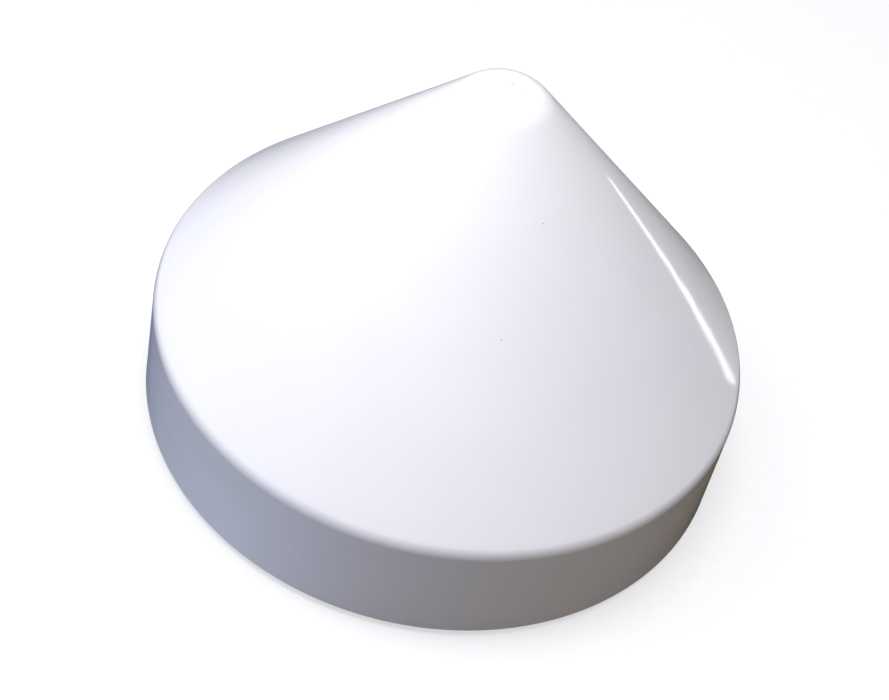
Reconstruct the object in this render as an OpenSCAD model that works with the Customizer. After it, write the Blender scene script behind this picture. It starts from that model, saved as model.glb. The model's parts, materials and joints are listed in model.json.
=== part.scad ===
// Small marine radar antenna: a flat array that turns under a conical radome.
// Millimetres. +Z runs up the spin axis and +Y points to the bow.
// The origin is on the spin axis, in the plane of the mounting pads.

/* [Radome] */
// Outer radius of the skirt at its rim
rim_r = 225; // [220:1:240]
// Height from the rim to where the skirt's line meets the cone's
skirt_h = 85; // [80:1:95]
// Lean of the skirt that lets the shell leave its mould, in degrees
skirt_draft = 1.8; // [1:0.1:2.5]
// Slope of the cone above the horizontal, in degrees
cone_slope = 47; // [44:1:52]
// Outer radius of the round shoulder between skirt and cone
shoulder_r = 15; // [8:1:20]
// Outer radius of the round tip
tip_r = 45; // [20:1:60]
// Thickness of the shell
wall = 3.5; // [2.5:0.5:4]
// Number of bolts that hold the radome down
bolt_count = 6; // [4:1:8]

/* [Base] */
// Gap between the mounting surface and the skirt's rim
rim_gap = 6; // [4:1:8]
// Distance between the mounting holes from side to side
mount_x = 141.5; // [130:0.5:150]
// Distance between the mounting holes from bow to stern
mount_y = 233; // [225:1:240]

/* [Drive] */
// Module of both gears
gear_module = 1; // [0.9:0.1:1]
// Teeth on the motor's pinion
pinion_teeth = 18; // [18:1:20]
// Teeth on the large gear
gear_teeth = 108; // [104:4:108]

/* [Array] */
// Width of the radiating array
array_w = 360; // [300:5:360]
// Height of the radiating array
array_h = 46; // [40:1:48]
// Patches in each row
patch_columns = 20; // [12:1:20]
// Rows of patches
patch_rows = 2; // [1:1:2]

/* [Hidden] */

$fn = 96;
cut = 1;      // how far a cutter runs past the face that it cuts
slip = 0.1;   // radial clearance of a screw in its thread

// Radome
rim_z = rim_gap;
corner_z = rim_z + skirt_h;
corner_r = rim_r - skirt_h * tan(skirt_draft);
ledge_z = 31;
ledge_t = 4;
ledge_r = 192;
bolt_circle_r = 208;
boss_r = 7;
boss_top = 52;
insert_r = 4.2;
insert_top = 45;
bolt_r = 3;

// Base pan
pan_under = 10;
pan_top = 14;
pan_r = 194;
pan_wall = 4;
flange_z = 24;
flange_top = 29;
flange_r = 216;
gasket_r = 197;
gasket_cord_r = 1.9;
mount_boss_r = 13;
mount_boss_top = 26;
mount_insert_r = 7;
mount_hole_r = 4.2;
mount_depth = 20;

// Cable inlet and vent
inlet_y = -112;
pocket_r = 23;
pocket_wall = 4;
pocket_top = 28;
inlet_shell_r = 10.5;
inlet_neck_r = 8;
vent_y = 140;
vent_r = 5;
drain_r = 2.5;
drain_x = 118;
drain_y = -128;

// Bearings, after a 6002 ball bearing
bearing_r = 16;
bearing_bore_r = 7.5;
bearing_w = 9;
bearing_z = [28, 42];
race_r = 11.75;
ball_r = 2.38;
groove_r = 2.5;
ball_count = 9;
housing_r = 22;
housing_top = 52;
housing_foot_r = 38;
housing_screw_r = 31;

// Hub stack on the shaft
shaft_bottom = 24.5;
collar_z = 51;
hub_z = 53;
gear_z = 56;
gear_t = 8;
plate_z = gear_z + gear_t;
plate_t = 2.5;
spigot_top = 68;
spigot_r = 10;
shaft_bore_r = 4.5;
hub_screw_circle = 15;

// Gears
gear_pitch_r = gear_module * gear_teeth / 2;
pinion_pitch_r = gear_module * pinion_teeth / 2;
motor_y = gear_pitch_r + pinion_pitch_r;
backlash = 0.16;
pressure_angle = 20;

// Motor, after a 42 mm stepping motor
motor_w = 42.3;
motor_corner = 4.5;
motor_rear = 18;
motor_face = 50;
end_cap_t = 8;
motor_pilot_r = 11;
motor_shaft_r = 2.5;
motor_screw_half = 15.5;
bracket_t = 3;
post_x = 30;
post_r = 5;
post_half_y = 18;

// Array
array_z = 70;
array_y = 18;
channel_t = 1.5;
channel_depth = 6;
board_t = 1.6;
patch_w = 10.5;
patch_pitch = 17.4;
patch_t = 0.35;
coax_r = 1.8;
weight_h = 12;
weight_y = -21;
coax_z = array_z + array_h / 2;
board_front = array_y + channel_t + 1.2 + board_t;

// Transceiver
case_x = -102;
case_w = 112;
case_d = 120;
case_top = 44;
case_wall = 2.5;
lid_t = 2.5;
coax_port_z = 19;

// Power board
board_x = 102;
board_w = 108;
board_d = 112;
board_z = 24;
board_top = board_z + board_t;
board_hole_x = 48;
board_hole_y = 50;
plug_h = 8;
power_plug_h = 9;
ribbon_plug = [58, -31.5];
motor_plug = [58, 22];
sensor_plug = [58, -6];
power_plug = [72, -51];
choke_ring_r = 9;
choke_coil_r = 4.4;
ribbon_w = 14;
ribbon_t = 0.9;

// Heading sensor
sensor_r = 40;
sensor_post_at = [-5, -51, 0];
sensor_board_z = 51;
sensor_board_t = 1.5;

// ---------------------------------------------------------------- helpers

// Places its children round the spin axis.
module around(count, radius, start = 0) {
    for (i = [0 : count - 1])
        rotate(start + i * 360 / count)
            translate([radius, 0, 0])
                children();
}

// Places its children at the four corners of a rectangle.
module corners(half_x, half_y) {
    for (x = [-1, 1], y = [-1, 1])
        translate([x * half_x, y * half_y, 0])
            children();
}

// Tube that stands on z = from.
module ring(outer, inner, from, to) {
    translate([0, 0, from])
        difference() {
            cylinder(h = to - from, r = outer);
            translate([0, 0, -cut])
                cylinder(h = to - from + 2 * cut, r = inner);
        }
}

module rod(r, from, to, sides = 64) {
    translate([0, 0, from])
        cylinder(h = to - from, r = r, $fn = sides);
}

// Pan-head screw: the shank hangs below z = 0 and the head stands on it.
module pan_screw(r, length, head_r, head_h) {
    rod(r, -length, cut / 2, 32);
    difference() {
        rod(head_r, 0, head_h, 48);
        rod(r * 0.8, head_h * 0.45, head_h + cut, 6);
    }
}

// Box with its centre on the given x and y, standing on z.
module block(size, at) {
    translate([at.x - size.x / 2, at.y - size.y / 2, at.z])
        cube(size);
}

// Points of an arc in the plane, by the direction of its normal.
function arc(centre, r, from, to, steps) = [
    for (i = [0 : steps])
        let (a = from + (to - from) * i / steps)
            centre + r * [cos(a), sin(a)]
];

// Catmull-Rom curve through a list of points.
function curve(p, steps) = [
    for (i = [0 : len(p) - 2], s = [0 : steps - 1])
        let (
            a = p[max(i - 1, 0)],
            b = p[i],
            c = p[i + 1],
            d = p[min(i + 2, len(p) - 1)],
            t = s / steps
        )
        0.5 * (2 * b + (c - a) * t + (2 * a - 5 * b + 4 * c - d) * t * t
            + (3 * b - a - 3 * c + d) * t * t * t),
    p[len(p) - 1]
];

function unit(v) = v / norm(v);

function tangent(path, i) =
    unit(path[min(i + 1, len(path) - 1)] - path[max(i - 1, 0)]);

// A side direction for each ring, carried along the path without twist.
function sides_along(path, i = 0, found = []) =
    i == len(path) ? found :
    let (
        t = tangent(path, i),
        seed = i == 0 ? (abs(t.z) > 0.9 ? [1, 0, 0] : [0, 0, 1]) : found[i - 1],
        side = unit(seed - (seed * t) * t)
    )
    sides_along(path, i + 1, concat(found, [side]));

// Round lead swept along a path, as one closed solid.
module lead(points, r, steps = 5, sides = 8) {
    path = curve(points, steps);
    side = sides_along(path);
    rings = [
        for (i = [0 : len(path) - 1], k = [0 : sides - 1])
            let (u = side[i], v = cross(tangent(path, i), u), a = k * 360 / sides)
                path[i] + r * (cos(a) * u + sin(a) * v)
    ];
    last = (len(path) - 1) * sides;
    skin = [
        for (i = [0 : len(path) - 2], k = [0 : sides - 1])
            let (a = i * sides + k, b = i * sides + (k + 1) % sides)
                [a, a + sides, b + sides, b]
    ];
    first_end = [for (k = [0 : sides - 1]) k];
    far_end = [for (k = [sides - 1 : -1 : 0]) last + k];
    polyhedron(rings, concat(skin, [first_end, far_end]));
}

// ---------------------------------------------------------------- radome

// The shell's outline, moved inwards by a depth. Its arcs keep their centres.
shell_normal = [sin(cone_slope), cos(cone_slope)];
skirt_normal = [cos(skirt_draft), sin(skirt_draft)];
spread = skirt_normal.x * shell_normal.y - skirt_normal.y * shell_normal.x;
shoulder_centre = [corner_r, corner_z] - shoulder_r / spread
    * [shell_normal.y - skirt_normal.y, skirt_normal.x - shell_normal.x];
tip_centre_z = corner_z + (corner_r * shell_normal.x - tip_r) / shell_normal.y;

function shell_outline(depth) = concat(
    [[rim_r - depth / cos(skirt_draft), rim_z]],
    arc(shoulder_centre, shoulder_r - depth, skirt_draft, 90 - cone_slope, 8),
    arc([0, tip_centre_z], tip_r - depth, 90 - cone_slope, 90, 12)
);

function reversed(list) = [for (i = [len(list) - 1 : -1 : 0]) list[i]];

module radome_shell() {
    rotate_extrude()
        polygon(concat(shell_outline(0), reversed(shell_outline(wall))));
}

module radome_ledge() {
    reach = rim_r - (ledge_z - rim_z) * tan(skirt_draft) - wall / 2;
    ring(reach, ledge_r, ledge_z, ledge_z + ledge_t);
}

module radome_boss() {
    rod(boss_r, flange_top, boss_top);
    web = rim_r - bolt_circle_r - (boss_top - rim_z) * tan(skirt_draft) - wall / 2;
    translate([0, -2.5, ledge_z])
        cube([web, 5, boss_top - ledge_z]);
}

module radome() {
    color("white")
        difference() {
            union() {
                radome_shell();
                radome_ledge();
                around(bolt_count, bolt_circle_r) radome_boss();
            }
            around(bolt_count, bolt_circle_r)
                rod(insert_r + slip, flange_top - cut, boss_top - 3);
        }
}

module radome_inserts() {
    color("goldenrod")
        around(bolt_count, bolt_circle_r)
            ring(insert_r, bolt_r + slip, flange_top + 0.3, insert_top);
}

// ---------------------------------------------------------------- base

module pan_section() {
    inner = pan_r - pan_wall;
    chamfer = 6;
    polygon([
        [0, pan_under], [pan_r - chamfer, pan_under], [pan_r, pan_under + chamfer],
        [pan_r, flange_z], [flange_r, flange_z], [flange_r, flange_top],
        [inner, flange_top], [inner, pan_top + 3], [inner - 3, pan_top], [0, pan_top]
    ]);
}

module pan_ribs() {
    rib_z = 6;
    rib_t = 3;
    ring(66, 63, rib_z, pan_under + cut);
    ring(153, 150, rib_z, pan_under + cut);
    around(12, 64, 15)
        translate([0, -rib_t / 2, rib_z])
            cube([pan_r - 72, rib_t, pan_under - rib_z + cut]);
}

module base_pan() {
    color("gainsboro")
        difference() {
            union() {
                rotate_extrude() pan_section();
                pan_ribs();
                rod(42, 8, pan_top - cut);
                corners(mount_x / 2, mount_y / 2)
                    rod(mount_boss_r, pan_under + cut, mount_boss_top);
                translate([0, vent_y, 0]) rod(vent_r + 5, 7, pan_top + 1);
            }
            rotate_extrude()
                translate([gasket_r - 2, flange_top - 2])
                    square([4, 2 + cut]);
            around(bolt_count, bolt_circle_r)
                rod(bolt_r + 0.3, flange_z - cut, flange_top + cut);
            corners(mount_x / 2, mount_y / 2)
                rod(mount_insert_r + slip, 0, mount_depth + 2);
            translate([0, inlet_y, 0])
                rod(pocket_r + pocket_wall + slip / 2, 0, pan_top + cut);
            translate([0, vent_y, 0]) rod(vent_r + slip, 0, pan_top + 2);
            for (x = [-1, 1])
                translate([x * drain_x, drain_y, 0])
                    rod(drain_r, 0, pan_top + cut);
            around(4, housing_screw_r, 45) rod(2 + slip, 9, pan_top + cut);
        }
}

// Rubber pads under the pan, round the feet of the inserts.
module mounting_pads() {
    color("dimgray")
        corners(mount_x / 2, mount_y / 2)
            ring(mount_boss_r, mount_insert_r + slip, 0, pan_under);
}

module mounting_inserts() {
    color("silver")
        corners(mount_x / 2, mount_y / 2)
            ring(mount_insert_r, mount_hole_r, 0, mount_depth);
}

module rim_gasket() {
    color("dimgray")
        rotate_extrude()
            translate([gasket_r, flange_top])
                circle(r = gasket_cord_r, $fn = 32);
}

module radome_bolts() {
    washer_t = 1.2;
    head_h = 5;
    color("silver")
        around(bolt_count, bolt_circle_r) {
            rod(bolt_r, flange_z - washer_t - cut, insert_top - 1);
            rod(5.8, flange_z - washer_t - head_h, flange_z - washer_t, 6);
        }
}

module bolt_washers() {
    color("black")
        around(bolt_count, bolt_circle_r)
            ring(7.5, bolt_r + 0.2, flange_z - 1.2, flange_z);
}

module breather_vent() {
    color("black")
        translate([0, vent_y, 0]) {
            rod(vent_r, 5, pan_top + 6);
            difference() {
                rod(9, 2.5, 7);
                around(8, 9) rod(1.2, 0, 8, 24);
            }
            rod(8, pan_top + 1, pan_top + 5, 6);
        }
}

// Cup set into the pan, open below, with a lip that rests on the pan's floor.
module inlet_cup() {
    outer = pocket_r + pocket_wall;
    color("gainsboro")
        translate([0, inlet_y, 0])
            difference() {
                union() {
                    rod(outer, pan_under - 4, pocket_top + 4);
                    rod(outer + 1.5, pan_top, pan_top + 2);
                }
                rod(pocket_r, 0, pocket_top);
                rod(inlet_neck_r + slip, pocket_top - cut, pocket_top + 5);
            }
}

module inlet_connector() {
    flange_t = 3;
    color("silver")
        translate([0, inlet_y, 0]) {
            ring(inlet_shell_r, inlet_shell_r - 2, 7, pocket_top - flange_t);
            rod(14, pocket_top - flange_t - 2.5, pocket_top - 2);
            rod(inlet_neck_r, pocket_top - flange_t, pocket_top + 16);
            around(6, 4.5) rod(0.8, 12, pocket_top - flange_t, 24);
            rod(0.8, 12, pocket_top - flange_t, 24);
        }
}

module inlet_nut() {
    color("silver")
        translate([0, inlet_y, 0])
            difference() {
                rod(14, pocket_top + 4, pocket_top + 9, 6);
                rod(inlet_neck_r + slip, pocket_top, pocket_top + 12);
            }
}

module inlet_oring() {
    color("black")
        translate([0, inlet_y, pocket_top - 1])
            rotate_extrude()
                translate([11, 0])
                    circle(r = 0.95, $fn = 24);
}

// ---------------------------------------------------------------- bearings and housing

module housing_section() {
    step = (bearing_z[0] + bearing_w + bearing_z[1]) / 2;
    polygon([
        [bearing_r + 0.02, pan_top], [housing_foot_r, pan_top],
        [housing_foot_r, pan_top + 4], [housing_r, pan_top + 4],
        [housing_r, housing_top], [bearing_r + 0.02, housing_top],
        [bearing_r + 0.02, step + 2.5], [13.5, step + 2.5],
        [13.5, step - 2.5], [bearing_r + 0.02, step - 2.5]
    ]);
}

module housing_gusset() {
    foot = pan_top + 4;
    translate([housing_r - 1, 1.5, foot - 1])
        rotate([90, 0, 0])
            linear_extrude(3)
                polygon([[0, 0], [housing_foot_r - housing_r - 1, 0], [0, 22]]);
}

module bearing_housing() {
    color("silver")
        difference() {
            union() {
                rotate_extrude() housing_section();
                around(4, 0) housing_gusset();
            }
            translate([-housing_foot_r - cut, -4, pan_top + 0.8])
                cube([housing_foot_r, 8, 8.6]);
            around(4, housing_screw_r, 45) rod(2.2, pan_top - cut, pan_top + 5);
        }
}

module housing_screws() {
    color("silver")
        around(4, housing_screw_r, 45)
            translate([0, 0, pan_top + 4])
                pan_screw(2, 8.5, 3.6, 2.6);
}

// A bearing ring between two radii, with its half of the ball groove.
module race(outer, inner) {
    for (z = bearing_z)
        translate([0, 0, z])
            rotate_extrude()
                difference() {
                    translate([inner, 0]) square([outer - inner, bearing_w]);
                    translate([race_r, bearing_w / 2]) circle(r = groove_r);
                }
}

module bearing_outer_rings() {
    color("silver") race(bearing_r, race_r + 1.65);
}

module bearing_inner_rings() {
    color("silver") race(race_r - 1.65, bearing_bore_r + 0.02);
}

module bearing_balls() {
    color("silver")
        for (z = bearing_z)
            translate([0, 0, z + bearing_w / 2])
                around(ball_count, race_r)
                    sphere(r = ball_r, $fn = 32);
}

module ball_cages() {
    half_h = 3.2;
    color("goldenrod")
        for (z = bearing_z)
            translate([0, 0, z + bearing_w / 2])
                difference() {
                    ring(race_r + 0.9, race_r - 0.9, -half_h, half_h);
                    around(ball_count, race_r)
                        rotate([0, 90, 0]) rod(ball_r + 0.12, -3, 3, 32);
                }
}

// ---------------------------------------------------------------- rotary joint and coax

module rotary_joint_stator() {
    color("goldenrod") {
        rod(bearing_r - 0.3, pan_top, shaft_bottom - 1.5);
        rod(2, shaft_bottom - 2, 62);
        translate([0, 0, coax_port_z])
            rotate([0, -90, 0])
                rod(3, 10, 26, 32);
    }
}

module coax_jumper() {
    color("goldenrod")
        translate([0, 0, coax_port_z])
            rotate([0, -90, 0]) {
                rod(3.9, 26, 31, 6);
                rod(coax_r, 30, -case_x - case_w / 2 + case_wall, 32);
                rod(3.9, 41, -case_x - case_w / 2, 6);
            }
}

module rotary_joint_rotor() {
    color("goldenrod")
        difference() {
            union() {
                rod(shaft_bore_r - 0.05, 54, spigot_top + 1);
                rod(9, spigot_top, spigot_top + 3);
                rod(5, spigot_top + 2, spigot_top + 8, 6);
            }
            rod(2.7, 50, 66);
        }
}

module coax_feed() {
    bend_r = 8;
    color("goldenrod") {
        rod(3.8, spigot_top + 8, spigot_top + 12, 6);
        rod(coax_r, spigot_top + 11, coax_z - bend_r, 32);
        translate([0, bend_r, coax_z - bend_r])
            rotate([0, -90, 0])
                rotate([0, 0, -90])
                    rotate_extrude(angle = 90)
                        translate([bend_r, 0]) circle(r = coax_r, $fn = 32);
        translate([0, 0, coax_z])
            rotate([-90, 0, 0]) {
                rod(coax_r, bend_r, board_front - board_t, 32);
                rod(3.8, bend_r + 0.5, array_y, 6);
            }
    }
}

// ---------------------------------------------------------------- shaft, gears

module rotor_shaft() {
    color("silver")
        difference() {
            rotate_extrude()
                polygon([
                    [shaft_bore_r, shaft_bottom], [bearing_bore_r, shaft_bottom],
                    [bearing_bore_r, 26.4], [bearing_bore_r - 0.6, 26.4],
                    [bearing_bore_r - 0.6, 27.8], [bearing_bore_r, 27.8],
                    [bearing_bore_r, collar_z], [spigot_r, collar_z], [spigot_r, hub_z],
                    [20, hub_z], [20, gear_z], [spigot_r, gear_z],
                    [spigot_r, spigot_top], [shaft_bore_r, spigot_top]
                ]);
            around(4, hub_screw_circle, 45) rod(2 + slip, hub_z - cut, gear_z + cut);
        }
}

module shaft_circlip() {
    color("dimgray")
        difference() {
            ring(9.6, bearing_bore_r - 0.5, 26.5, 27.7);
            translate([5, -2.5, 26])
                cube([6, 5, 3]);
        }
}

function turned(r, a) = r * [cos(a), sin(a)];

// Half the angle that a tooth spans at radius r, in degrees.
function tooth_half_angle(r, pitch_r, base_r) =
    let (
        at_pitch = acos(base_r / pitch_r),
        at_r = acos(min(base_r / r, 1)),
        half_tooth = (gear_module * PI / 2 - backlash) / 2 / pitch_r * 180 / PI
    )
    half_tooth + tan(at_pitch) * 180 / PI - at_pitch - tan(at_r) * 180 / PI + at_r;

// Outline of a spur gear with involute flanks. Tooth 0 is on +X.
function gear_outline(teeth) =
    let (
        pitch_r = gear_module * teeth / 2,
        base_r = pitch_r * cos(pressure_angle),
        root_r = pitch_r - 1.25 * gear_module,
        tip = pitch_r + gear_module,
        low = max(base_r, root_r + 0.2),
        steps = 4,
        radii = [for (i = [0 : steps]) low + (tip - low) * i / steps],
        half = [for (r = radii) tooth_half_angle(r, pitch_r, base_r)]
    )
    [
        for (t = [0 : teeth - 1])
            let (a = t * 360 / teeth)
                each concat(
                    [turned(root_r, a - half[0])],
                    [for (i = [0 : steps]) turned(radii[i], a - half[i])],
                    [for (i = [steps : -1 : 0]) turned(radii[i], a + half[i])],
                    [turned(root_r, a + half[0])]
                )
    ];

module drive_gear() {
    color("ivory")
        difference() {
            translate([0, 0, gear_z])
                linear_extrude(gear_t)
                    polygon(gear_outline(gear_teeth));
            rod(spigot_r + 0.05, gear_z - cut, plate_z + cut);
            around(4, hub_screw_circle, 45) rod(2.2, gear_z - cut, plate_z + cut);
            around(6, 35, 0) rod(8.5, gear_z - cut, plate_z + cut);
            translate([0, -sensor_r, 0]) rod(3.05, gear_z - cut, gear_z + 4);
        }
}

module heading_magnet() {
    color("gray")
        translate([0, -sensor_r, 0]) rod(3, gear_z + 0.2, gear_z + 4);
}

// Turn that puts a gap of the pinion on the gear's tooth, on the line of centres.
past_tooth = gear_teeth / 4 - floor(gear_teeth / 4);
pinion_turn = 270 + (past_tooth - 0.5) * 360 / pinion_teeth;

module motor_pinion() {
    color("goldenrod")
        translate([0, motor_y, 0])
            difference() {
                union() {
                    translate([0, 0, 55])
                        linear_extrude(10)
                            rotate(pinion_turn)
                                polygon(gear_outline(pinion_teeth));
                    rod(6, 54, 56);
                }
                rod(motor_shaft_r + 0.02, 50, 66);
            }
}

module motor_shaft() {
    color("silver")
        translate([0, motor_y, 0]) rod(motor_shaft_r, 16.5, 66);
}

module motor_core() {
    color("dimgray")
        translate([0, motor_y, 0])
            ring(motor_pilot_r, motor_shaft_r + 0.02, motor_rear + end_cap_t + 1.5,
                motor_face - end_cap_t - 1.5);
}

// ---------------------------------------------------------------- motor

module motor_square(from, to) {
    half = motor_w / 2;
    inner = half - motor_corner;
    translate([0, motor_y, from])
        linear_extrude(to - from)
            polygon([
                [-inner, -half], [inner, -half], [half, -inner], [half, inner],
                [inner, half], [-inner, half], [-half, inner], [-half, -inner]
            ]);
}

module motor_end_caps() {
    bearing_gap = 0.05;
    color("silver")
        difference() {
            union() {
                motor_square(motor_rear, motor_rear + end_cap_t);
                motor_square(motor_face - end_cap_t, motor_face);
                translate([0, motor_y, 0]) rod(motor_pilot_r, motor_face - cut, motor_face + 2);
            }
            translate([0, motor_y, 0]) {
                rod(motor_shaft_r + bearing_gap, motor_rear - cut, motor_face + 3);
                corners(motor_screw_half, motor_screw_half)
                    rod(1.5 + slip, motor_face - 6.5, motor_face + cut);
            }
        }
}

module motor_stator() {
    color("black")
        difference() {
            motor_square(motor_rear + end_cap_t, motor_face - end_cap_t);
            translate([0, motor_y, 0])
                rod(motor_pilot_r + 0.4, motor_rear, motor_face);
        }
}

module motor_bracket() {
    color("silver")
        difference() {
            block([2 * post_x + 12, 2 * post_half_y + 14, bracket_t], [0, motor_y, motor_face]);
            translate([0, motor_y, 0]) {
                rod(motor_pilot_r + 0.2, motor_face - cut, motor_face + 5);
                corners(motor_screw_half, motor_screw_half)
                    rod(1.7, motor_face - cut, motor_face + 5);
                corners(post_x, post_half_y) rod(2.2, motor_face - cut, motor_face + 5);
            }
        }
}

// Screws through the bracket, into the motor and into the posts.
module motor_screws() {
    color("silver")
        translate([0, motor_y, motor_face + bracket_t]) {
            corners(motor_screw_half, motor_screw_half)
                pan_screw(1.5, 9, 2.75, 2.2);
            corners(post_x, post_half_y)
                pan_screw(2, 11, 3.4, 2.2);
        }
}

module bracket_posts() {
    color("silver")
        translate([0, motor_y, 0])
            corners(post_x, post_half_y)
                difference() {
                    rod(post_r, pan_top, motor_face, 6);
                    rod(2 + slip, motor_face - 10, motor_face + cut);
                }
}

// ---------------------------------------------------------------- heading sensor

module sensor_post() {
    color("silver")
        translate(sensor_post_at)
            difference() {
                rod(4, pan_top, sensor_board_z, 6);
                rod(1.2 + slip, sensor_board_z - 9, sensor_board_z + cut, 24);
            }
}

module sensor_board() {
    color("darkgreen")
        difference() {
            block([20, 24, sensor_board_t], [0, -47, sensor_board_z]);
            translate(sensor_post_at) rod(1.4, sensor_board_z - cut, sensor_board_z + 3, 24);
        }
}

module heading_sensor() {
    top = sensor_board_z + sensor_board_t;
    color("black") {
        block([5, 4.4, 2], [0, -sensor_r, top]);
        block([8, 5, 3], [4, -56.5, top]);
    }
}

// ---------------------------------------------------------------- transceiver

module transceiver_case() {
    inner = [case_w - 2 * case_wall, case_d - 2 * case_wall, case_top];
    color("silver")
        difference() {
            union() {
                difference() {
                    block([case_w, case_d, case_top - pan_top], [case_x, 0, pan_top]);
                    block(inner, [case_x, 0, pan_top + 2.5]);
                }
                translate([case_x, 0, 0])
                    corners(case_w / 2 - 5, case_d / 2 - 5)
                        block([8, 8, case_top - pan_top], [0, 0, pan_top]);
            }
            translate([case_x, 0, 0])
                corners(case_w / 2 - 5, case_d / 2 - 5) rod(1.6, case_top - 12, case_top + cut);
            translate([-case_wall, 0, coax_port_z])
                translate([case_x + case_w / 2 - cut, 0, 0])
                    rotate([0, 90, 0]) rod(2.2, 0, 5, 32);
            block([3 * case_wall, 22, 6], [case_x + case_w / 2, -32, case_top - 9]);
        }
}

module transceiver_board() {
    color("darkgreen")
        difference() {
            block([case_w - 8, case_d - 8, 1.6], [case_x, 0, 24]);
            translate([case_x, 0, 0])
                corners(case_w / 2 - 5, case_d / 2 - 5) block([10, 10, 10], [0, 0, 20]);
        }
}

module transceiver_lid() {
    color("silver")
        difference() {
            union() {
                block([case_w, case_d, lid_t], [case_x, 0, case_top]);
                for (i = [-4 : 4])
                    block([case_w - 24, 2.2, 5], [case_x, i * 11, case_top + lid_t - 0.5]);
            }
            translate([case_x, 0, 0])
                corners(case_w / 2 - 5, case_d / 2 - 5) rod(1.8, case_top - cut, case_top + 5);
        }
}

module transceiver_screws() {
    color("silver")
        translate([case_x, 0, case_top + lid_t])
            corners(case_w / 2 - 5, case_d / 2 - 5)
                pan_screw(1.5, 12, 3, 2.2);
}

// ---------------------------------------------------------------- power board

module power_board() {
    color("darkgreen")
        difference() {
            block([board_w, board_d, board_t], [board_x, 0, board_z]);
            translate([board_x, 0, 0])
                corners(board_hole_x, board_hole_y) rod(1.7, 20, 30, 32);
        }
}

module board_standoffs() {
    color("goldenrod")
        translate([board_x, 0, 0])
            corners(board_hole_x, board_hole_y)
                difference() {
                    rod(3.2, pan_top, board_z, 6);
                    rod(1.6, board_z - 8, board_z + cut, 32);
                }
}

module board_screws() {
    color("silver") {
        translate([board_x, 0, board_top])
            corners(board_hole_x, board_hole_y)
                pan_screw(1.5, 8, 3, 2);
        translate(sensor_post_at + [0, 0, sensor_board_z + sensor_board_t])
            pan_screw(1.2, 7, 2.3, 1.6);
    }
}

module capacitors() {
    color("midnightblue") {
        for (i = [0 : 2])
            translate([138, -34 + 22 * i, 0]) rod(8, board_top, board_top + 25);
        for (i = [0 : 1])
            translate([116, -36 + 16 * i, 0]) rod(5, board_top, board_top + 16);
    }
}

module choke_coil() {
    color("darkorange")
        translate([92, -34, board_top + choke_coil_r])
            rotate_extrude()
                translate([choke_ring_r, 0]) circle(r = choke_coil_r, $fn = 32);
}

module heat_sink() {
    fins = 8;
    fin_t = 2;
    length = 44;
    pitch = (length - fin_t) / (fins - 1);
    color("black")
        translate([104, 38, board_top]) {
            block([length, 22, 4], [0, 0, 0]);
            for (i = [0 : fins - 1])
                block([fin_t, 22, 16], [(i - (fins - 1) / 2) * pitch, 0, 3]);
        }
}

// Each chip is its size and its place on the board.
module board_chips() {
    chips = [
        [[16, 16, 1.8], [82, 2]], [[10, 8, 1.6], [106, 6]], [[8, 6, 1.6], [70, 34]],
        [[12, 5, 2], [72, -14]], [[6, 6, 3], [112, -4]]
    ];
    color("black")
        for (chip = chips)
            block(chip[0], [chip[1].x, chip[1].y, board_top]);
}

module board_connectors() {
    depth = 9;
    color("ivory")
        translate([0, 0, board_top]) {
            block([depth, ribbon_w + 4, plug_h], [ribbon_plug.x, ribbon_plug.y, 0]);
            block([depth, 14, plug_h], [motor_plug.x, motor_plug.y, 0]);
            block([depth, 8, plug_h], [sensor_plug.x, sensor_plug.y, 0]);
            block([20, depth, power_plug_h], [power_plug.x, power_plug.y, 0]);
        }
}

// ---------------------------------------------------------------- leads

module inlet_lead() {
    color("black")
        lead([
            [0, inlet_y, pocket_top + 16], [0, inlet_y, 50], [8, -108, 57], [24, -98, 59],
            [44, -82, 54], [60, -66, 50], [70, -54, 45], [power_plug.x, power_plug.y, 40],
            [power_plug.x, power_plug.y, board_top + power_plug_h]
        ], 3.2);
}

module motor_lead() {
    color("black")
        lead([
            [motor_w / 2, motor_y, 22], [30, motor_y, 22], [40, 60, 24], [46, 50, 34],
            [51, 35, 42], [56, 25, 43], [motor_plug.x, motor_plug.y, 39],
            [motor_plug.x, motor_plug.y, board_top + plug_h]
        ], 2);
}

module sensor_lead() {
    color("black")
        lead([
            [4, -59, 54], [4.5, -62, 53.5], [9, -65, 50], [22, -60, 43],
            [38, -42, 38], [50, -20, 39], [56, -9, 41], [sensor_plug.x, sensor_plug.y, 38],
            [sensor_plug.x, sensor_plug.y, board_top + plug_h]
        ], 1.2);
}

// Flat cable that arches from the power board to the transceiver.
module ribbon_cable() {
    left = case_x + case_w / 2;
    arch = curve([
        [ribbon_plug.x, board_top + plug_h], [56, 41], [46, 46], [20, 42], [0, 40],
        [-20, 40], [-36, 39.5], [left, 38.5]
    ], 5);
    upper = [
        for (i = [0 : len(arch) - 1])
            let (t = tangent(arch, i))
                arch[i] + ribbon_t * [t.y, -t.x]
    ];
    color("gray")
        translate([0, ribbon_plug.y + ribbon_w / 2, 0])
            rotate([90, 0, 0])
                linear_extrude(ribbon_w)
                    polygon(concat(arch, reversed(upper)));
}

// ---------------------------------------------------------------- array

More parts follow.
